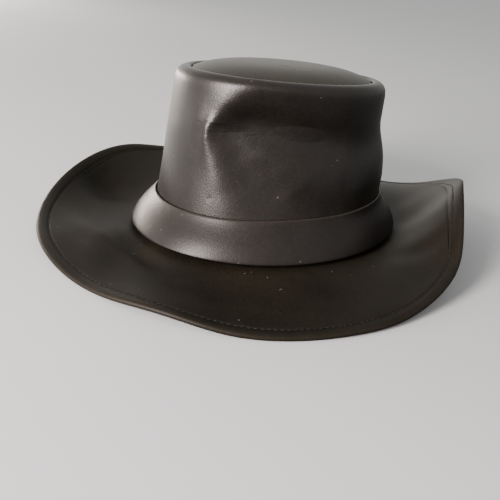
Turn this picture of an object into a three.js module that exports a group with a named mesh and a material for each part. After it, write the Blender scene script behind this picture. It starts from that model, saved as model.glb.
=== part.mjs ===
// A leather hat with a tall, tapering crown, a flared hat band and a wide wavy brim.
// Millimetres, +Z up, the front toward -Y and the wearer's left toward +X. The hat stands on z = 0 by
// the lowest arcs of its brim, as it would on a table. Angles run around the head from the wearer's
// left (0) over the back (90) to the right (180) and the front (-90).
import * as THREE from 'three';

// Driving dimensions
const COLUMNS = 76;         // facets around the head
const LEATHER = 2.0;        // wall of the crown and its tip
const GAP = 0.3;            // clearance between two pieces
const FOOT_Z = 8.4;         // height of the crown's foot above the surface, on the axis of the crown
const LEAN = 1.5;           // degrees that the wavy brim lets the hat lean to the wearer's right
const FOOT = { wide: 83.6, long: 101.6 };    // half sizes of the crown's foot, outside
const HEAD_RADIUS = 92;     // mean half size of the foot
const NECK = { wide: 71.8, long: 89.4 };     // half sizes just under the shoulder
const CROWN_FOOT_Z = 6;     // the wall ends this far above the foot, behind the brim's collar
const NECK_Z = 117;         // height of the neck above the foot
const SEAM = { wide: 60.6, long: 77.2 };     // half sizes of the seam around the tip
const SEAM_Z = 123;         // height of the seam above the foot at its centre
const TOP_TILT = { x: 0.058, y: -0.047 };    // rise of the top per mm toward the left and the back
const TIP_RISE = 9;         // how far the tip is domed above the seam
const TIP_FLAT = 3.8;       // power of the dome: the higher, the flatter its middle

const BAND_TOP = { wide: 83.2, long: 101.8, z: 31.5, x: 0.04, y: 0.02 };
const BAND_FOOT = { wide: 98.0, long: 121.0, z: 4.6 };
const BAND_LEATHER = 1.6;

const BRIM_LEATHER = 2.2;
const HEM_WIDTH = 9;        // the edge is folded under and stitched
const HEM_LEATHER = 1.9;    // extra thickness of the fold, on the underside

// Edge of the brim: height above the foot, distance out from the foot, how late it curls up, and the
// height of the hump half way out.
const BRIM = [
  { at: -180, rise: 13, reach: 83.5, curl: 1.6, hump: 0 },
  { at: -160, rise: 23.5, reach: 84, curl: 1.7, hump: -3 },
  { at: -140, rise: 22, reach: 83, curl: 1.7, hump: -6 },
  { at: -120, rise: 10.5, reach: 87.5, curl: 1.4, hump: -3 },
  { at: -100, rise: 0.8, reach: 91, curl: 1.1, hump: 3 },
  { at: -80, rise: -7.8, reach: 85.5, curl: 1.0, hump: 0 },
  { at: -60, rise: -3.8, reach: 83.5, curl: 1.0, hump: -3 },
  { at: -40, rise: -9.6, reach: 87, curl: 1.0, hump: -1 },
  { at: -20, rise: -9.8, reach: 86.5, curl: 1.0, hump: 0 },
  { at: 0, rise: -6, reach: 86, curl: 1.2, hump: 0 },
  { at: 20, rise: 14, reach: 82.5, curl: 1.6, hump: 0 },
  { at: 32, rise: 38.5, reach: 69.5, curl: 1.8, hump: 0 },
  { at: 45, rise: 53, reach: 62.5, curl: 1.9, hump: 0 },
  { at: 60, rise: 46, reach: 69, curl: 1.8, hump: 0 },
  { at: 76, rise: 28, reach: 80, curl: 1.6, hump: 2 },
  { at: 90, rise: 7, reach: 87, curl: 1.3, hump: 3 },
  { at: 102, rise: -4.5, reach: 88, curl: 1.1, hump: 4 },
  { at: 112, rise: -5.3, reach: 89, curl: 1.0, hump: 4 },
  { at: 125, rise: -4.3, reach: 89, curl: 1.0, hump: 2 },
  { at: 142, rise: 1, reach: 88, curl: 1.2, hump: 0 },
  { at: 160, rise: 9, reach: 86.5, curl: 1.4, hump: 0 },
];

// Soft ridges (up) and hollows (down) of the brim: place around and out from the foot, half length and
// half width, the turn of the long side away from the rim's own direction, and the height.
const BRIM_FOLDS = [
  { at: -138, out: 58, long: 24, wide: 13, turn: 0, height: -4.5 },
  { at: -90, out: 52, long: 30, wide: 8, turn: 38, height: 3.2 },
  { at: -74, out: 34, long: 26, wide: 8, turn: 20, height: -2.6 },
  { at: -45, out: 36, long: 40, wide: 12, turn: -8, height: -2.4 },
  { at: 12, out: 62, long: 26, wide: 10, turn: -15, height: -2.5 },
  { at: 66, out: 45, long: 22, wide: 16, turn: 60, height: 3 },
  { at: 150, out: 50, long: 30, wide: 12, turn: 20, height: 2.5 },
];

// Dents of the crown: height of the valley above the foot, depth, and its reach up and down. A negative
// depth is a bulge. The long dent starts in a point at the front left and runs to the back.
const LONG_DENT = [
  { at: -180, height: 95, depth: 0, up: 20, down: 30 },
  { at: -84, height: 94, depth: 0, up: 16, down: 20 },
  { at: -75, height: 94, depth: -1.2, up: 22, down: 32 },
  { at: -69, height: 94, depth: 0.8, up: 12, down: 12 },
  { at: -62, height: 94.3, depth: 7.5, up: 17, down: 22 },
  { at: -54, height: 95, depth: 12.5, up: 25, down: 32 },
  { at: -42, height: 95, depth: 14.5, up: 28, down: 36 },
  { at: -22, height: 92, depth: 12.5, up: 30, down: 36 },
  { at: 0, height: 87, depth: 9, up: 33, down: 36 },
  { at: 22, height: 82, depth: 6, up: 36, down: 32 },
  { at: 45, height: 86, depth: 3.5, up: 32, down: 28 },
  { at: 70, height: 90, depth: 2, up: 27, down: 24 },
  { at: 100, height: 92, depth: 0, up: 25, down: 24 },
];
const LOW_DENT = [
  { at: -180, height: 60, depth: 0, up: 14, down: 26 },
  { at: -70, height: 90, depth: 0, up: 10, down: 20 },
  { at: -60, height: 82, depth: 3, up: 12, down: 28 },
  { at: -50, height: 70, depth: 5.5, up: 15, down: 34 },
  { at: -38, height: 58, depth: 6, up: 17, down: 34 },
  { at: -24, height: 47, depth: 4.5, up: 18, down: 30 },
  { at: -8, height: 38, depth: 2, up: 18, down: 24 },
  { at: 10, height: 34, depth: 0, up: 18, down: 22 },
  { at: 90, height: 50, depth: 0, up: 14, down: 26 },
];
const BACK_BULGE = [
  { at: -180, height: 62, depth: 0, up: 30, down: 34 },
  { at: 10, height: 62, depth: 0, up: 30, down: 34 },
  { at: 50, height: 63, depth: -4, up: 26, down: 40 },
  { at: 90, height: 62, depth: 0, up: 30, down: 34 },
];

// Section of the brim's root from its collar inside the crown to the open brim: distance out from the
// foot and height above it, along the middle of the leather.
const ROOT = [
  { out: -4.9, z: 14 },
  { out: -4.6, z: 10 },
  { out: -4.0, z: 6 },
  { out: -2.4, z: 3 },
  { out: 0.8, z: 1 },
  { out: 6, z: 0 },
  { out: 13, z: -0.4 },
];
const OPEN_BRIM = [0.12, 0.26, 0.42, 0.58, 0.74, 0.86];   // shares of the way from the root to the hem

const leather = {
  crown: new THREE.MeshStandardMaterial({ color: 0x37312b, roughness: 0.5, metalness: 0 }),
  tip: new THREE.MeshStandardMaterial({ color: 0x4a453c, roughness: 0.55, metalness: 0 }),
  brim: new THREE.MeshStandardMaterial({ color: 0x332d27, roughness: 0.5, metalness: 0 }),
  band: new THREE.MeshStandardMaterial({ color: 0x302b28, roughness: 0.45, metalness: 0 }),
};

const degrees = Array.from({ length: COLUMNS }, (_, i) => -180 + 360 * i / COLUMNS);
const cos = (deg) => Math.cos(THREE.MathUtils.degToRad(deg));
const sin = (deg) => Math.sin(THREE.MathUtils.degToRad(deg));

// A column of a table whose rows go once around the head, read smoothly between two rows.
function around(table, column, deg) {
  const n = table.length;
  const row = (i) => {
    const turn = Math.floor(i / n);
    const r = table[i - turn * n];
    return { at: r.at + 360 * turn, v: r[column] };
  };
  let i = 0;
  while (i < n - 1 && table[i + 1].at <= deg) i += 1;
  const [a, b, c, d] = [row(i - 1), row(i), row(i + 1), row(i + 2)];
  const u = (deg - b.at) / (c.at - b.at);
  const slopeB = (c.v - a.v) / (c.at - a.at) * (c.at - b.at);
  const slopeC = (d.v - b.v) / (d.at - b.at) * (c.at - b.at);
  const u2 = u * u;
  const u3 = u2 * u;
  const between = b.v + (c.v - b.v) * (3 * u2 - 2 * u3);
  return between + slopeB * (u3 - 2 * u2 + u) + slopeC * (u3 - u2);
}

// The point at one angle of an oval, moved straight out by a distance.
function onOval(oval, deg, out, z) {
  const p = new THREE.Vector2(oval.wide * cos(deg), oval.long * sin(deg));
  const n = new THREE.Vector2(cos(deg) / oval.wide, sin(deg) / oval.long).normalize();
  return new THREE.Vector3(p.x + n.x * out, p.y + n.y * out, z);
}

// A closed body from rings of equal length. Each ring is joined to the next and the last to the first,
// or, where a cap point is given at each end, the rings are closed over those two points.
function ringBody(rings, caps) {
  const cols = rings[0].length;
  const points = rings.flat();
  const faces = [];
  const last = caps ? rings.length - 1 : rings.length;
  for (let r = 0; r < last; r += 1) {
    const next = (r + 1) % rings.length;
    for (let c = 0; c < cols; c += 1) {
      const d = (c + 1) % cols;
      const [a, b] = [r * cols, next * cols];
      faces.push([a + c, a + d, b + d], [a + c, b + d, b + c]);
    }
  }
  if (caps) {
    points.push(caps[0], caps[1]);
    const end = (rings.length - 1) * cols;
    for (let c = 0; c < cols; c += 1) {
      const d = (c + 1) % cols;
      faces.push([points.length - 2, d, c], [points.length - 1, end + c, end + d]);
    }
  }
  const volume = faces.reduce((sum, [a, b, c]) => sum
    + points[a].dot(new THREE.Vector3().crossVectors(points[b], points[c])), 0);
  if (volume < 0) faces.forEach((f) => f.reverse());
  const geometry = new THREE.BufferGeometry().setFromPoints(points);
  geometry.setIndex(faces.flat());
  geometry.computeVertexNormals();
  return geometry;
}

// Normals of a surface of rings, by the difference of its neighbours along and across.
function ringNormals(rings) {
  const cols = rings[0].length;
  return rings.map((ring, r) => ring.map((_, c) => {
    const along = new THREE.Vector3().subVectors(ring[(c + 1) % cols], ring[(c + cols - 1) % cols]);
    const before = rings[Math.max(r - 1, 0)][c];
    const after = rings[Math.min(r + 1, rings.length - 1)][c];
    const across = new THREE.Vector3().subVectors(after, before);
    return across.cross(along).normalize();
  }));
}

// A sheet of leather: a middle surface thickened to both sides. thick(r) gives how far the face on the
// normal's side and the face on the other side stand off the middle of ring r.
function sheet(rings, thick) {
  const normals = ringNormals(rings);
  const face = (r, side) => rings[r].map((p, c) => p.clone().addScaledVector(normals[r][c], side));
  const upper = rings.map((_, r) => face(r, thick(r).over));
  const lower = rings.map((_, r) => face(r, -thick(r).under));
  return { upper, lower };
}

// Height of the crown's tilted top above its level one.
const topTilt = (p) => TOP_TILT.x * p.x + TOP_TILT.y * p.y;

// How far one dent pushes a place of the wall in. A creased dent comes to a sharp valley, a round one
// doesn't.
function push(table, creased, deg, z) {
  const valley = around(table, 'height', deg);
  const depth = around(table, 'depth', deg);
  const reach = around(table, z > valley ? 'up' : 'down', deg);
  const u = Math.min(Math.abs(z - valley) / reach, 1);
  return depth * (1 - u) ** 2 * (creased ? 1 : 1 + 2 * u);
}

const dentAt = (deg, z) => push(LONG_DENT, true, deg, z) + push(LOW_DENT, false, deg, z)
  + push(BACK_BULGE, false, deg, z);

// A level ring of the crown's wall, a distance inside its outer face.
function wallRing(z, inset) {
  const k = z / NECK_Z;
  const oval = {
    wide: FOOT.wide + (NECK.wide - FOOT.wide) * k,
    long: FOOT.long + (NECK.long - FOOT.long) * k,
  };
  return degrees.map((deg) => {
    const p = onOval(oval, deg, -inset - dentAt(deg, z), z);
    p.z += topTilt(p) * Math.max(k - 0.5, 0) * 2;
    return p;
  });
}

function crownSide() {
  const heights = [CROWN_FOOT_Z, 24, 40, 53, 64, 74, 83, 91, 98, 105, 111, NECK_Z];
  // The shoulder rolls over from the neck to the seam: shares of the way in, and rise above the neck.
  const shoulder = [[0.1, 3.4], [0.34, 6.1], [0.66, 7.3], [0.88, 7.1], [1, 6]];
  // The wall's inner face needs fewer rings.
  const innerHeights = [CROWN_FOOT_Z, 20, 44, 64, 81, 97, 110];
  const innerShoulder = [[0.3, 5.9], [0.66, 7.3], [1, 6]];
  const rollRing = (share, rise, inset) => degrees.map((deg) => {
    const a = onOval(NECK, deg, 0, 0);
    const b = onOval(SEAM, deg, 0, 0);
    const p = new THREE.Vector3().lerpVectors(a, b, share);
    const n = onOval(NECK, deg, 1, 0).sub(a);
    p.addScaledVector(n, -inset * Math.cos(share * Math.PI / 2));
    p.z = NECK_Z + rise - inset * Math.sin(share * Math.PI / 2);
    p.z += topTilt(p);
    return p;
  });
  const outer = heights.map((z) => wallRing(z, 0));
  shoulder.forEach(([share, rise]) => outer.push(rollRing(share, rise, 0)));
  const inner = innerHeights.map((z) => wallRing(z, LEATHER));
  innerShoulder.forEach(([share, rise]) => inner.push(rollRing(share, rise, LEATHER)));
  return ringBody(outer.concat(inner.reverse()));
}

function crownTip() {
  const top = (share, drop) => degrees.filter((_, i) => i % 2 === 0).map((deg) => {
    const oval = { wide: SEAM.wide - GAP, long: SEAM.long - GAP };
    const p = onOval(oval, deg, 0, 0).multiplyScalar(share);
    p.z = SEAM_Z + TIP_RISE * (1 - share ** TIP_FLAT) - drop;
    p.z += topTilt(p);
    return p;
  });
  const shares = [0.36, 0.62, 0.79, 0.9, 0.965, 1];
  const upper = shares.map((s) => top(s, 0));
  const lower = [...shares].reverse().map((s) => top(s, LEATHER));
  const middle = (drop) => new THREE.Vector3(0, 0, SEAM_Z + TIP_RISE - drop);
  return ringBody(upper.concat(lower), [middle(0), middle(LEATHER)]);
}

function hatBand() {
  const topRing = (out, down) => degrees.map((deg) => {
    const p = onOval(BAND_TOP, deg, out, 0);
    p.z = BAND_TOP.z - down + BAND_TOP.x * p.x + BAND_TOP.y * p.y;
    return p;
  });
  const footRing = (out, up) => degrees.map((deg) => onOval(BAND_FOOT, deg, out, BAND_FOOT.z + up));
  const middle = (a, b) => a.map((p, i) => new THREE.Vector3().lerpVectors(p, b[i], 0.5));
  const outer = [topRing(0, 0), footRing(0, 0)];
  const inner = [footRing(-BAND_LEATHER, -0.9), topRing(-BAND_LEATHER, 0.9)];
  return ringBody([outer[0], middle(...outer), outer[1], inner[0], middle(...inner), inner[1]]);
}

// Height that the soft ridges and hollows give the brim at a place.
function foldAt(deg, out) {
  return BRIM_FOLDS.reduce((sum, fold) => {
    const apart = ((deg - fold.at + 540) % 360) - 180;
    const along = THREE.MathUtils.degToRad(apart) * (HEAD_RADIUS + fold.out);
    const across = out - fold.out;
    const a = (along * cos(fold.turn) + across * sin(fold.turn)) / fold.long;
    const b = (across * cos(fold.turn) - along * sin(fold.turn)) / fold.wide;
    return sum + fold.height * Math.exp(-(a * a) - b * b);
  }, 0);
}

function brim() {
  const rings = ROOT.map((step) => degrees.map((deg) => onOval(FOOT, deg, step.out, step.z)));
  const root = ROOT[ROOT.length - 1];
  const at = (share, back) => degrees.map((deg) => {
    const reach = around(BRIM, 'reach', deg) - root.out;
    const rise = around(BRIM, 'rise', deg) - root.z;
    const u = share - back / reach;
    const late = u ** around(BRIM, 'curl', deg);
    const hump = around(BRIM, 'hump', deg) * Math.sin(Math.PI * u);
    const out = root.out + reach * u;
    return onOval(FOOT, deg, out, root.z + rise * late + hump + foldAt(deg, out));
  });
  OPEN_BRIM.forEach((share) => rings.push(at(share, 0)));
  const hemStart = rings.length;
  [HEM_WIDTH + 0.6, HEM_WIDTH - 0.2, HEM_WIDTH - 1.4, 4.6, 1.4, 0].forEach((back) => rings.push(at(1, back)));
  const half = BRIM_LEATHER / 2;
  const folded = half + HEM_LEATHER;
  const fold = [
    { over: half, under: half },
    { over: half - 0.3, under: folded },
    { over: half + 0.4, under: folded },
    { over: half + 0.9, under: folded + 0.1 },
    { over: half + 0.5, under: folded - 0.3 },
    { over: half - 0.6, under: folded - 1.3 },
  ];
  const { upper, lower } = sheet(rings, (r) => fold[Math.max(r - hemStart, 0)]);
  // The leather is flattened where it meets the surface that the hat stands on.
  const slope = Math.tan(THREE.MathUtils.degToRad(LEAN));
  [upper, lower].flat(2).forEach((p) => { p.z = Math.max(p.z, -FOOT_Z - slope * p.x); });
  return ringBody(upper.concat(lower.reverse()));
}

const hat = new THREE.Group();
hat.rotation.y = -THREE.MathUtils.degToRad(LEAN);
const pieces = [
  ['crown_side', crownSide(), leather.crown],
  ['crown_tip', crownTip(), leather.tip],
  ['brim', brim(), leather.brim],
  ['hat_band', hatBand(), leather.band],
];
for (const [name, geometry, material] of pieces) {
  const mesh = new THREE.Mesh(geometry, material);
  mesh.name = name;
  hat.add(mesh);
}

// The origin is the middle of the hat's plan, on the surface that it stands on.
hat.position.z = FOOT_Z * cos(LEAN);
hat.updateMatrixWorld(true);
const plan = new THREE.Box3().setFromObject(hat, true).getCenter(new THREE.Vector3());
hat.position.x = -plan.x;
hat.position.y = -plan.y;

export default hat;
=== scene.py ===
import math

import bpy
from mathutils import Matrix, Vector
from mathutils.bvhtree import BVHTree
from mathutils.kdtree import KDTree


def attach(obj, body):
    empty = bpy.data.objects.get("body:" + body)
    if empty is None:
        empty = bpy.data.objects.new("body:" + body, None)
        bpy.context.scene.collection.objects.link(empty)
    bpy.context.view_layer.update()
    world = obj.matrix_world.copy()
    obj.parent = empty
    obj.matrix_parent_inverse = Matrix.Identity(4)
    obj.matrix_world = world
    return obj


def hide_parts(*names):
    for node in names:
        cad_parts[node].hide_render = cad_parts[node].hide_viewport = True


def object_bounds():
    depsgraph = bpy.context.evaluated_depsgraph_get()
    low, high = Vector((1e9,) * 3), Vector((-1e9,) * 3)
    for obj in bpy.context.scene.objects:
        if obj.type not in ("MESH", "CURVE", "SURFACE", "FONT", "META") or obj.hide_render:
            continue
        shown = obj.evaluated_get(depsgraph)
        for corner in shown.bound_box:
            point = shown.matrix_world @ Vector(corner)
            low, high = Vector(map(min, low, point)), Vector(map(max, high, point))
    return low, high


# The hat's frame. Every piece is in metres, +Z up, the front toward -Y and the wearer's left toward +X,
# and the brim rests on the floor at z = 0.
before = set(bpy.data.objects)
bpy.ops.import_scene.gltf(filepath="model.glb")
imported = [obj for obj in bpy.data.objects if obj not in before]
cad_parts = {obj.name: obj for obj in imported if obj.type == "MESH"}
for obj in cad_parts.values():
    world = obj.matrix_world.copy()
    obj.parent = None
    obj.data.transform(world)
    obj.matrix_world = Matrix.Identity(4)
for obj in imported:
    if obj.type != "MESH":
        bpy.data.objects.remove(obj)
solid_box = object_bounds()
hat_low, hat_high = solid_box

# The camera stands high at the hat's front left, close enough to look down on the brim, a little rolled.
CAMERA_PLACE = (0.3975, -0.3298, 0.2330)
CAMERA_TURN = math.radians(51.48)
CAMERA_DOWN = math.radians(26.5)
CAMERA_ROLL = math.radians(7.43)
camera_data = bpy.data.cameras.new("camera")
camera_data.lens = 46.8
camera_data.sensor_width = 36.0
camera_data.clip_start = 0.01
camera = bpy.data.objects.new("camera", camera_data)
bpy.context.scene.collection.objects.link(camera)
camera.matrix_world = (
    Matrix.Translation(CAMERA_PLACE)
    @ Matrix.Rotation(CAMERA_TURN, 4, "Z")
    @ Matrix.Rotation(math.pi / 2 - CAMERA_DOWN, 4, "X")
    @ Matrix.Rotation(CAMERA_ROLL, 4, "Z")
)
bpy.context.scene.camera = camera


# The floor is one wide pale sheet, matt, on which the hat stands. Shader nodes for it and for the
# leathers are written as expressions on the wrapped socket below.
class Shade:
    """The output of a shader node. Arithmetic on it adds Math nodes to the same material."""

    def __init__(self, tree, socket=None):
        self.tree = tree
        self.socket = socket

    def node(self, kind, settings=None, sockets=None, out=0):
        made = self.tree.nodes.new(kind)
        for name, value in (settings or {}).items():
            if name == "stops":
                elements = made.color_ramp.elements
                while len(elements) < len(value):
                    elements.new(1.0)
                for element, (place, colour) in zip(elements, value):
                    element.position = place
                    element.color = (*colour, 1.0)
            else:
                setattr(made, name, value)
        for key, value in (sockets or {}).items():
            if isinstance(value, Shade):
                self.tree.links.new(value.socket, made.inputs[key])
            else:
                made.inputs[key].default_value = value
        return Shade(self.tree, made.outputs[out])

    def math(self, operation, first, second=0.0, clamp=False):
        settings = {"operation": operation, "use_clamp": clamp}
        return self.node("ShaderNodeMath", settings, {0: first, 1: second})

    def __add__(self, other):
        return self.math("ADD", self, other)

    def __sub__(self, other):
        return self.math("SUBTRACT", self, other)

    def __mul__(self, other):
        return self.math("MULTIPLY", self, other)

    def __truediv__(self, other):
        return self.math("DIVIDE", self, other)

    def __radd__(self, other):
        return self.math("ADD", other, self)

    def __rsub__(self, other):
        return self.math("SUBTRACT", other, self)

    def __rmul__(self, other):
        return self.math("MULTIPLY", other, self)

    def ramp(self, low, high):
        """0 below low, 1 above high, smooth between."""
        settings = {"interpolation_type": "SMOOTHSTEP"}
        return self.node("ShaderNodeMapRange", settings, {0: self, 1: low, 2: high, 3: 0.0, 4: 1.0})

    def mix(self, first, second):
        """This share of the second colour over the first."""
        settings = {"data_type": "RGBA"}
        return self.node("ShaderNodeMix", settings, {0: self, 6: first, 7: second}, out=2)


def new_material(name):
    material = bpy.data.materials.new(name)
    material.use_nodes = True
    shader = material.node_tree.nodes["Principled BSDF"]
    return material, shader, Shade(material.node_tree)


FLOOR_SIZE = 8.0
FLOOR_DARK = (0.755, 0.785, 0.825, 1)
FLOOR_LIGHT = (0.80, 0.83, 0.87, 1)
bpy.ops.object.select_all(action="DESELECT")
bpy.ops.mesh.primitive_plane_add(size=FLOOR_SIZE)
floor = bpy.context.object
floor.name = "floor"
floor_material, floor_shader, shade = new_material("floor_paint")
place = shade.node("ShaderNodeTexCoord", out=3)
mottle = shade.node("ShaderNodeTexNoise", None, {"Vector": place, "Scale": 3.0, "Detail": 3.0})
floor_tone = mottle.mix(FLOOR_DARK, FLOOR_LIGHT)
floor_material.node_tree.links.new(floor_tone.socket, floor_shader.inputs["Base Color"])
floor_shader.inputs["Roughness"].default_value = 0.8
floor.data.materials.append(floor_material)
floor.visible_diffuse = False
floor.visible_glossy = False

# Soft studio light: a tall lamp at the picture's front left, a low one behind at the left, and a surround
# that glows low down behind at the left, is dim elsewhere and is dimmest below. Places are in metres to
# the picture's right, away from the camera, and up.
LOOK_AT = Vector((0.0, 0.0, 0.07))
BACK = Vector((-math.sin(CAMERA_TURN), math.cos(CAMERA_TURN), 0.0))
SIDE = Vector((math.cos(CAMERA_TURN), math.sin(CAMERA_TURN), 0.0))
FRONT_LIGHT = (1.0, 0.90, 0.84)
LEFT_LIGHT = (1.0, 0.88, 0.77)
SURROUND_LIGHT = (1.0, 0.97, 0.92, 1.0)
LEFT_GLOW = 1.55
EVEN_GLOW = 0.44


def soft_light(name, right, back, up, wide, high, watts, colour):
    """A lamp of this width and height, turned to the hat."""
    data = bpy.data.lights.new(name, "AREA")
    data.shape = "RECTANGLE"
    data.size = wide
    data.size_y = high
    data.energy = watts
    data.color = colour
    light = bpy.data.objects.new(name, data)
    bpy.context.scene.collection.objects.link(light)
    light.location = SIDE * right + BACK * back + Vector((0.0, 0.0, up))
    light.rotation_euler = (LOOK_AT - light.location).to_track_quat("-Z", "Y").to_euler()


soft_light("light_front", -0.88, -1.13, 0.50, wide=0.36, high=0.96, watts=58.0, colour=FRONT_LIGHT)
soft_light("light_left", -1.24, 1.04, 0.13, wide=0.9, high=0.26, watts=22.0, colour=LEFT_LIGHT)
surround = bpy.data.worlds.new("surround")
surround.use_nodes = True
background = surround.node_tree.nodes["Background"]
shade = Shade(surround.node_tree)
outward = shade.node("ShaderNodeTexCoord", out=0)
lit_side = shade.node(
    "ShaderNodeVectorMath", {"operation": "DOT_PRODUCT"}, {0: outward, 1: BACK * 0.6 - SIDE * 0.8}, out=1
)
height = shade.node("ShaderNodeSeparateXYZ", None, {0: outward}, out=2)
glow = lit_side.ramp(0.0, 1.0) * (1.0 - height.ramp(0.15, 0.50) * 0.75) * LEFT_GLOW
glow = glow + EVEN_GLOW * (0.30 + height.ramp(-0.10, 0.06) * 0.70)
surround.node_tree.links.new(glow.socket, background.inputs["Strength"])
background.inputs["Color"].default_value = SURROUND_LIGHT
bpy.context.scene.world = surround

# The brim is one sheet of leather, its edge folded under and sewn down in dark thread. Its inner edge stands
# up inside the crown's foot, as a collar around the opening.
HEM = 0.0088
GROOVE_DEEP = 0.0006
GROOVE_WIDE = 0.0009
# The rim is painted paler: partly real wear, partly a painted highlight where the rounded hem catches the
# light.
RIM_WEAR_AND_SHEEN = 0.13
RIM_WEAR_AND_SHEEN_WIDE = 0.0022
BRIM_DARK = (0.0070, 0.0056, 0.0034, 1)
BRIM_LIGHT = (0.0170, 0.0140, 0.0095, 1)
# The pale tone for edges: partly real wear, partly a painted highlight where edges catch the light.
WEAR_AND_SHEEN_TONE = (0.070, 0.055, 0.043, 1)
DUST = (0.30, 0.28, 0.24, 1)
# Soft waves pressed into the sheet: x and y of the middle, turn in degrees, half length, half width, and
# height. They fade out toward the rim.
WAVE_FADE = 0.02
SOFT_WAVES = [
    (-0.110, -0.103, 45.0, 0.028, 0.018, -0.0046),
    (-0.020, -0.148, 10.0, 0.034, 0.007, 0.0016),
    (0.012, -0.150, 12.0, 0.034, 0.006, -0.0012),
    (0.020, -0.128, 22.0, 0.030, 0.008, -0.0016),
    (0.125, 0.075, 60.0, 0.028, 0.010, -0.0020),
    (0.105, 0.110, 30.0, 0.030, 0.012, 0.0020),
]


POLE_EDGES = 12


def soft_copy(node, name, levels):
    """A copy of a solid with its triangles joined to quads and smoothed, under its own name."""
    bpy.ops.object.select_all(action="DESELECT")
    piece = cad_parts[node].copy()
    piece.data = piece.data.copy()
    piece.name = name
    piece.data.name = name
    for key in list(piece.keys()):
        if key.startswith("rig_"):
            del piece[key]
    piece.parent = None
    bpy.context.scene.collection.objects.link(piece)
    bpy.context.view_layer.objects.active = piece
    piece.select_set(True)
    bpy.ops.object.mode_set(mode="EDIT")
    bpy.ops.mesh.select_all(action="SELECT")
    bpy.ops.mesh.remove_doubles(threshold=1e-6)
    bpy.ops.mesh.select_all(action="DESELECT")
    bpy.ops.object.mode_set(mode="OBJECT")
    # The triangles around a cap's middle point stay triangles.
    edges_at = [0] * len(piece.data.vertices)
    for edge in piece.data.edges:
        for corner in edge.vertices:
            edges_at[corner] += 1
    for face in piece.data.polygons:
        face.select = max(edges_at[corner] for corner in face.vertices) < POLE_EDGES
    bpy.ops.object.mode_set(mode="EDIT")
    bpy.ops.mesh.tris_convert_to_quads(
        face_threshold=math.pi, shape_threshold=math.pi, topology_influence=1.0
    )
    bpy.ops.object.mode_set(mode="OBJECT")
    smooth = piece.modifiers.new("smooth", "SUBSURF")
    smooth.levels = levels
    smooth.render_levels = levels
    bpy.ops.object.modifier_apply(modifier=smooth.name)
    bpy.ops.object.shade_smooth()
    piece.data.materials.clear()
    return piece


def paint(piece, name, values):
    """Keeps one number per vertex for the piece's material to read."""
    layer = piece.data.attributes.new(name, "FLOAT", "POINT")
    layer.data.foreach_set("value", values)


def leather(name, dark, light, gloss, shine, grain, marks=None):
    """Worn leather: mottled colour, a fine pebbled grain, edges painted paler for wear and as a painted
    highlight, and a little dust. marks adds a piece's own creases to the grain, from its shade, its place and
    its grain."""
    material, shader, shade = new_material(name)
    place = shade.node("ShaderNodeTexCoord", out=3)
    cloud = shade.node(
        "ShaderNodeTexNoise", None, {"Vector": place, "Scale": 15.0, "Detail": 5.0, "Roughness": 0.6}
    )
    fleck = shade.node(
        "ShaderNodeTexNoise", None, {"Vector": place, "Scale": 380.0, "Detail": 4.0, "Roughness": 0.7}
    )
    pebble = shade.node(
        "ShaderNodeTexVoronoi", {"feature": "SMOOTH_F1"}, {"Vector": place, "Scale": 950.0, "Smoothness": 0.6}
    )
    pore = shade.node("ShaderNodeTexNoise", None, {"Vector": place, "Scale": 1500.0, "Detail": 3.0})
    speck = shade.node("ShaderNodeTexVoronoi", {"feature": "F1"}, {"Vector": place, "Scale": 130.0})
    speck_place = shade.node("ShaderNodeTexNoise", None, {"Vector": place, "Scale": 31.0})
    worn = shade.node("ShaderNodeAttribute", {"attribute_name": "worn"}, out=2)
    dust = (1.0 - speck.ramp(0.05, 0.10)) * speck_place.ramp(0.56, 0.60)
    tone = (cloud * 0.8 + fleck * 0.35 - 0.1).ramp(0.25, 0.75)
    colour = tone.mix(dark, light)
    # Edges are painted paler: partly real wear, partly a painted highlight along edges that catch the light.
    colour = (worn * (0.35 + fleck * 0.9)).mix(colour, WEAR_AND_SHEEN_TONE)
    colour = (dust * 0.30).mix(colour, DUST)
    material.node_tree.links.new(colour.socket, shader.inputs["Base Color"])
    rough = gloss + cloud * 0.14 + fleck * 0.10 + dust * 0.2 - 0.12
    material.node_tree.links.new(rough.socket, shader.inputs["Roughness"])
    relief = pebble * 0.5 + pore * 0.3 + fleck * 0.45
    if marks:
        relief = marks(shade, place, relief)
    bump = shade.node("ShaderNodeBump", None, {"Strength": grain, "Distance": 0.0005, "Height": relief})
    material.node_tree.links.new(bump.socket, shader.inputs["Normal"])
    shader.inputs["Specular IOR Level"].default_value = shine
    return material


def near(points):
    """A search tree of points."""
    tree = KDTree(len(points))
    for index, point in enumerate(points):
        tree.insert(point, index)
    tree.balance()
    return tree


brim = soft_copy("brim", "brim_sheet", 2)
axis = Vector(((hat_low.x + hat_high.x) / 2, (hat_low.y + hat_high.y) / 2))
RIM_SECTORS = 150
outermost = {}
for vertex in brim.data.vertices:
    flat = vertex.co.xy - axis
    sector = int((math.atan2(flat.y, flat.x) + math.pi) / math.tau * RIM_SECTORS)
    if sector not in outermost or flat.length > (outermost[sector].xy - axis).length:
        outermost[sector] = vertex.co.copy()
corners = [outermost[sector] for sector in sorted(outermost)]
rim = []
for here, there in zip(corners, corners[1:] + corners[:1]):
    rim += [here.lerp(there, part / 8) for part in range(8)]
rim_tree = near(rim)

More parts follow.
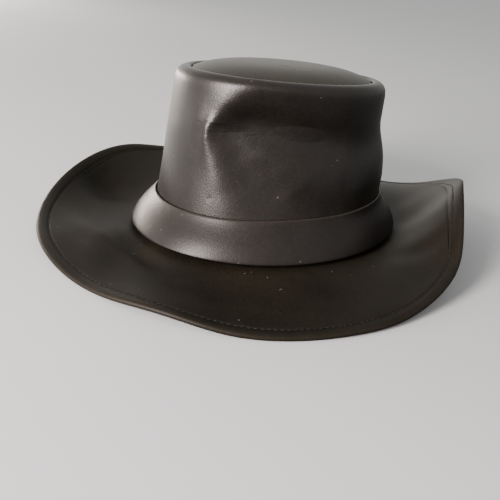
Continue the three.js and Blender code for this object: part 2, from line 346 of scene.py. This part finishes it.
# The groove runs one hem's width inside the rim, on the upper face. In each direction it is looked for by
# rays from above, from outside the rim inward.
GROOVE_STEPS = 720
FARTHEST = 0.22
NEAREST = 0.1
INWARD_STEP = 0.0004
ABOVE = 0.3
BELOW = -0.1
DOWN = Vector((0.0, 0.0, -1.0))
UP = Vector((0.0, 0.0, 1.0))
surface = BVHTree.FromObject(brim, bpy.context.evaluated_depsgraph_get())
groove = []
for step in range(GROOVE_STEPS):
    angle = math.tau * step / GROOVE_STEPS
    way = Vector((math.cos(angle), math.sin(angle)))
    reach = FARTHEST
    while reach > NEAREST:
        spot = axis + way * reach
        hit = surface.ray_cast(Vector((spot.x, spot.y, ABOVE)), DOWN)[0]
        if hit and rim_tree.find(hit)[2] >= HEM:
            groove.append(hit)
            break
        reach -= INWARD_STEP
groove_tree = near(groove)
worn = []
normals = [vertex.normal.copy() for vertex in brim.data.vertices]
for vertex, normal in zip(brim.data.vertices, normals):
    to_rim = rim_tree.find(vertex.co)[2]
    to_groove = groove_tree.find(vertex.co)[2]
    # Paler paint near the rim: partly wear, partly a painted highlight on the hem's edge.
    worn.append(RIM_WEAR_AND_SHEEN * math.exp(-((to_rim / RIM_WEAR_AND_SHEEN_WIDE) ** 2)))
    for x, y, turn, long, wide, high in SOFT_WAVES:
        away = Matrix.Rotation(-math.radians(turn), 2) @ (vertex.co.xy - Vector((x, y)))
        wave = high * math.exp(-((away.x / long) ** 2) - (away.y / wide) ** 2)
        vertex.co.z += wave * min(1.0, to_rim / WAVE_FADE)
    if normal.z > 0.0:
        vertex.co -= normal * GROOVE_DEEP * math.exp(-((to_groove / GROOVE_WIDE) ** 2))
paint(brim, "worn", worn)
brim.data.materials.append(leather("brim_leather", BRIM_DARK, BRIM_LIGHT, 0.50, 0.21, 0.36))
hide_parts("brim")
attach(brim, "root")

# The hem is sewn in waxed dark thread, one run of short stitches that lie in the groove on the upper face
# and come out again on the fold under it.
STITCH = 0.0031
STITCH_GAP = 0.0013
THREAD = 0.00042
STITCH_LIFT = 0.35
UNDER_SINK = 0.0002
THREAD_DARK = (0.006, 0.005, 0.004, 1)
THREAD_LIGHT = (0.020, 0.017, 0.013, 1)
bpy.ops.object.select_all(action="DESELECT")
bpy.ops.mesh.primitive_uv_sphere_add(segments=6, ring_count=5, radius=1.0)
bpy.ops.object.mode_set(mode="EDIT")
bpy.ops.transform.rotate(value=math.pi / 2, orient_axis="Y", center_override=(0.0, 0.0, 0.0))
bpy.ops.transform.resize(value=(STITCH / 2, THREAD, THREAD), center_override=(0.0, 0.0, 0.0))
bpy.ops.object.mode_set(mode="OBJECT")
stitch = bpy.context.object.data
bpy.data.objects.remove(bpy.context.object)

lengths = [(b - a).length for a, b in zip(groove, groove[1:] + groove[:1])]
stitch_count = int(sum(lengths) / (STITCH + STITCH_GAP))
surface = BVHTree.FromObject(brim, bpy.context.evaluated_depsgraph_get())


def run_of_stitches(name, from_z, sink):
    """Stitches on one face of the brim, all along the groove's plan, as one mesh."""
    corners = []
    faces = []
    step = 0
    passed = 0.0
    for index in range(stitch_count):
        wanted = sum(lengths) * index / stitch_count
        while passed + lengths[step] < wanted:
            passed += lengths[step]
            step += 1
        share = (wanted - passed) / lengths[step]
        along = groove[(step + 1) % GROOVE_STEPS] - groove[step]
        spot = groove[step] + along * share
        toward = DOWN if from_z > spot.z else UP
        hit, normal = surface.ray_cast(Vector((spot.x, spot.y, from_z)), toward)[:2]
        if not hit:
            continue
        along -= normal * along.dot(normal)
        turn = Matrix((along.normalized(), normal.cross(along).normalized(), normal)).transposed()
        first = len(corners)
        centre = hit + normal * (THREAD * STITCH_LIFT - sink)
        corners += [centre + turn @ vertex.co for vertex in stitch.vertices]
        faces += [[first + corner for corner in face.vertices] for face in stitch.polygons]
    mesh = bpy.data.meshes.new(name)
    mesh.from_pydata(corners, [], faces)
    mesh.shade_smooth()
    piece = bpy.data.objects.new(name, mesh)
    bpy.context.scene.collection.objects.link(piece)
    return piece


thread, thread_shader, shade = new_material("waxed_thread")
twist = shade.node(
    "ShaderNodeTexNoise", None, {"Vector": shade.node("ShaderNodeTexCoord", out=3), "Scale": 2400.0}
)
thread.node_tree.links.new(
    twist.ramp(0.35, 0.65).mix(THREAD_DARK, THREAD_LIGHT).socket, thread_shader.inputs["Base Color"]
)
thread_shader.inputs["Roughness"].default_value = 0.6
for name, from_z, sink in (("stitches_upper", ABOVE, 0.0), ("stitches_under", BELOW, UNDER_SINK)):
    stitches = run_of_stitches(name, from_z, sink)
    stitches.data.materials.append(thread)
    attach(stitches, "root")

# The crown's side is one band of leather drawn over a block and rolled in at the shoulder. It has been
# pushed in at the front left: a sharp fold runs from that point to the back, and a soft ridge bends
# around its end. Places are degrees around the crown and millimetres above its foot.
CROWN_DARK = (0.0072, 0.0058, 0.0050, 1)
CROWN_LIGHT = (0.0180, 0.0148, 0.0128, 1)
CROWN_MIDDLE = Vector((-0.00095, 0.00118, 0.0084))
CROWN_LEAN = math.radians(1.5)
CROWN_WIDE = 0.075
CROWN_LONG = 0.092
MM_PER_DEGREE = 1.45
RIDGE = [
    (-42, 121), (-50, 117), (-57.5, 109), (-64.5, 100), (-68.5, 93),
    (-68, 85), (-65, 76), (-61, 65), (-57, 48),
]
FOLD = [(-69, 93.2), (-62, 93), (-57, 92.5), (-47, 90), (-32, 88), (-6, 83), (18, 77)]
LOW_FOLD = [(-63, 90), (-54, 83.5), (-45, 76.5), (-37, 69), (-30, 60.5), (-24, 51)]
SCUFF = [(-63.2, 43.2), (-61.5, 43.6)]
# How far each line is raised or sunk, in metres, and how wide it is on either side, in millimetres. The ridge
# widens toward its ends. The fold deepens over its first ninth, and the low fold is deepest past its middle.
RIDGE_UP = 0.0027
RIDGE_WIDE_IN_DENT = 13.0
RIDGE_WIDE_ON_FLANK = 4.5
RIDGE_SPREAD = 14.0
FOLD_IN = 0.0027
FOLD_WIDE_ABOVE = 3.0
FOLD_WIDE_BELOW = 11.0
FOLD_START = 9.0
LOW_FOLD_IN = 0.0034
LOW_FOLD_WIDE_ABOVE = 26.0
LOW_FOLD_WIDE_BELOW = 11.0
LOW_FOLD_LATE = 1.3
WRINKLES_WIDE = 7.0
WRINKLES_HIGH = 7.0
SCUFF_WIDE = 0.7
SCUFF_DEEP = 1.3
# A thin paler line is painted along the seam: partly wear, partly a painted highlight where the shoulder's
# fold catches the light.
SEAM_WEAR_AND_SHEEN = 0.45
SEAM_WEAR_AND_SHEEN_WIDE = 0.0011
# The dent runs out smoothly at its back end, between these degrees and heights.
DENT_END = (4.0, 80.0)
DENT_END_HIGH = (50.0, 112.0)


def crown_place(point):
    """Millimetres around and up the crown, from a point of the model."""
    local = Matrix.Rotation(CROWN_LEAN, 3, "Y") @ (point - CROWN_MIDDLE)
    around = math.degrees(math.atan2(local.y / CROWN_LONG, local.x / CROWN_WIDE))
    return Vector((around * MM_PER_DEGREE, local.z * 1000.0))


def off_line(line, place):
    """Distance of a place to a line of places, how far along the line it is, from 0 to 1, and whether it
    lies on the line's left."""
    best = (1e9, 0.0, False)
    for index, (start, end) in enumerate(zip(line, line[1:])):
        a = Vector((start[0] * MM_PER_DEGREE, start[1]))
        way = Vector((end[0] * MM_PER_DEGREE, end[1])) - a
        share = min(max((place - a).dot(way) / way.length_squared, 0.0), 1.0)
        apart = (a + way * share - place).length
        if apart < best[0]:
            best = (apart, (index + share) / (len(line) - 1), way.cross(place - a) > 0.0)
    return best


def crown_marks(shade, place, relief):
    """Fine wrinkles along the fold, drawn out sideways, and a pressed scuff."""
    long_place = shade.node("ShaderNodeMapping", None, {"Vector": place, "Scale": (0.22, 0.22, 1.0)})
    wrinkle = shade.node(
        "ShaderNodeTexNoise", None, {"Vector": long_place, "Scale": 340.0, "Detail": 3.0, "Distortion": 0.6}
    )
    wrinkled = shade.node("ShaderNodeAttribute", {"attribute_name": "wrinkled"}, out=2)
    scuffed = shade.node("ShaderNodeAttribute", {"attribute_name": "scuffed"}, out=2)
    return relief + wrinkle * wrinkled * WRINKLES_HIGH - scuffed * SCUFF_DEEP


crown = soft_copy("crown_side", "crown_wall", 2)
seam_tree = near([vertex.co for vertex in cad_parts["crown_tip"].data.vertices])
worn = []
wrinkled = []
scuffed = []
normals = [vertex.normal.copy() for vertex in crown.data.vertices]
for vertex, normal in zip(crown.data.vertices, normals):
    place = crown_place(vertex.co)
    ridge_off, ridge_at, in_dent = off_line(RIDGE, place)
    fold_off, fold_at, above_fold = off_line(FOLD, place)
    low_off, low_at, above_low = off_line(LOW_FOLD, place)
    outside = normal.xy.dot(vertex.co.xy) > 0.0
    from_bend = abs(ridge_at - 0.5)
    ridge_wide = (RIDGE_WIDE_IN_DENT if in_dent else RIDGE_WIDE_ON_FLANK) + RIDGE_SPREAD * from_bend
    ridge_high = RIDGE_UP * (1.0 - (2.0 * from_bend) ** 2)
    fold_wide = FOLD_WIDE_ABOVE if above_fold else FOLD_WIDE_BELOW
    fold_deep = FOLD_IN * (1.0 - fold_at) * min(1.0, fold_at * FOLD_START)
    low_wide = LOW_FOLD_WIDE_ABOVE if above_low else LOW_FOLD_WIDE_BELOW
    low_deep = LOW_FOLD_IN * math.sin(math.pi * low_at ** LOW_FOLD_LATE)
    move = ridge_high * math.exp(-((ridge_off / ridge_wide) ** 2))
    move -= fold_deep * math.exp(-fold_off / fold_wide)
    move -= low_deep * math.exp(-((low_off / low_wide) ** 2))
    vertex.co += normal * move * (1.0 if outside else -1.0)
    to_seam = seam_tree.find(vertex.co)[2]
    # Paler paint along the seam: partly wear, partly a painted highlight on the shoulder's fold.
    worn.append(SEAM_WEAR_AND_SHEEN * math.exp(-((to_seam / SEAM_WEAR_AND_SHEEN_WIDE) ** 2)))
    wrinkled.append((1.0 - fold_at) * math.exp(-((fold_off / WRINKLES_WIDE) ** 2)))
    scuffed.append(math.exp(-((off_line(SCUFF, place)[0] / SCUFF_WIDE) ** 2)))
bpy.ops.object.mode_set(mode="EDIT")
bpy.ops.mesh.select_all(action="DESELECT")
bpy.ops.object.mode_set(mode="OBJECT")
for vertex in crown.data.vertices:
    place = crown_place(vertex.co)
    in_turn = DENT_END[0] < place.x / MM_PER_DEGREE < DENT_END[1]
    vertex.select = in_turn and DENT_END_HIGH[0] < place.y < DENT_END_HIGH[1]
bpy.ops.object.mode_set(mode="EDIT")
bpy.context.tool_settings.mesh_select_mode = (True, False, False)
bpy.ops.mesh.vertices_smooth(factor=0.5, repeat=40)
bpy.ops.object.mode_set(mode="OBJECT")
paint(crown, "worn", worn)
paint(crown, "wrinkled", wrinkled)
paint(crown, "scuffed", scuffed)
crown.data.materials.append(leather("crown_leather", CROWN_DARK, CROWN_LIGHT, 0.37, 0.55, 0.28, crown_marks))
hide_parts("crown_side")
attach(crown, "root")

# The tip is an oval of leather, domed and sewn in at the shoulder. A short fine crease has formed on top
# of it, and its points are in millimetres toward +X and +Y.
TIP_DARK = (0.0150, 0.0135, 0.0090, 1)
TIP_LIGHT = (0.0330, 0.0310, 0.0230, 1)
TIP_CREASE = [(16.9, -20.4), (22.5, -17.6), (28.8, -18.0), (33.0, -20.0), (38.7, -23.5)]
TIP_CREASE_WIDE = 0.0009
TIP_CREASE_DEEP = 7.0


def tip_marks(shade, place, relief):
    """One fine pressed line over the tip, from point to point of its route."""
    flat = shade.node("ShaderNodeVectorMath", {"operation": "MULTIPLY"}, {0: place, 1: (1.0, 1.0, 0.0)})
    for start, end in zip(TIP_CREASE, TIP_CREASE[1:]):
        a = Vector((start[0], start[1], 0.0)) / 1000.0
        way = Vector((end[0], end[1], 0.0)) / 1000.0 - a
        from_a = shade.node("ShaderNodeVectorMath", {"operation": "SUBTRACT"}, {0: flat, 1: a})
        scale = way / way.length_squared
        along = shade.node("ShaderNodeVectorMath", {"operation": "DOT_PRODUCT"}, {0: from_a, 1: scale}, out=1)
        reached = shade.math("ADD", along, 0.0, clamp=True)
        nearest = shade.node(
            "ShaderNodeVectorMath", {"operation": "SCALE"}, {"Vector": way, "Scale": reached}
        )
        apart = shade.node("ShaderNodeVectorMath", {"operation": "DISTANCE"}, {0: from_a, 1: nearest}, out=1)
        relief = relief - (1.0 - apart.ramp(0.0, TIP_CREASE_WIDE)) * TIP_CREASE_DEEP
    return relief


tip = soft_copy("crown_tip", "tip_oval", 3)
paint(tip, "worn", [0.0] * len(tip.data.vertices))
tip.data.materials.append(leather("tip_leather", TIP_DARK, TIP_LIGHT, 0.44, 0.54, 0.30, tip_marks))
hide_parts("crown_tip")
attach(tip, "root")

# The band is a flared strip of leather round the crown's foot. Its cut upper edge, where the face turns to
# point up, is painted paler, partly as the raw cut edge and partly as a painted highlight on the upward face,
# and it is drawn in against the crown.
BAND_DARK = (0.0070, 0.0056, 0.0052, 1)
BAND_LIGHT = (0.0180, 0.0148, 0.0136, 1)
BAND_TURN = 12.0
BAND_HIGH = 31.5
BAND_GAP = 0.0003
BAND_LEATHER = 0.0016
BAND_EDGE_PALE_AND_SHEEN = 0.4
BAND_EDGE_FROM = 0.55
BAND_EDGE_SPAN = 0.3
band = soft_copy("hat_band", "band_strip", 2)
crown_surface = BVHTree.FromObject(crown, bpy.context.evaluated_depsgraph_get())
normals = [vertex.normal.copy() for vertex in band.data.vertices]
for vertex, normal in zip(band.data.vertices, normals):
    high = min(max((crown_place(vertex.co).y - BAND_TURN) / (BAND_HIGH - BAND_TURN), 0.0), 1.0)
    inward = Vector((CROWN_MIDDLE.x - vertex.co.x, CROWN_MIDDLE.y - vertex.co.y, 0.0)).normalized()
    to_crown = crown_surface.ray_cast(vertex.co, inward)[3] or 0.0
    seat = BAND_GAP + BAND_LEATHER * (0.5 - 0.5 * normal.dot(inward))
    vertex.co += inward * max(to_crown - seat, 0.0) * high * high
# Faces that point up are painted paler: partly the raw cut edge, partly a painted highlight.
turned_up = [min(max(normal.z - BAND_EDGE_FROM, 0.0) / BAND_EDGE_SPAN, 1.0) for normal in normals]
paint(band, "worn", [BAND_EDGE_PALE_AND_SHEEN * share for share in turned_up])
band.data.materials.append(leather("band_leather", BAND_DARK, BAND_LIGHT, 0.41, 0.44, 0.24))
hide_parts("hat_band")
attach(band, "root")
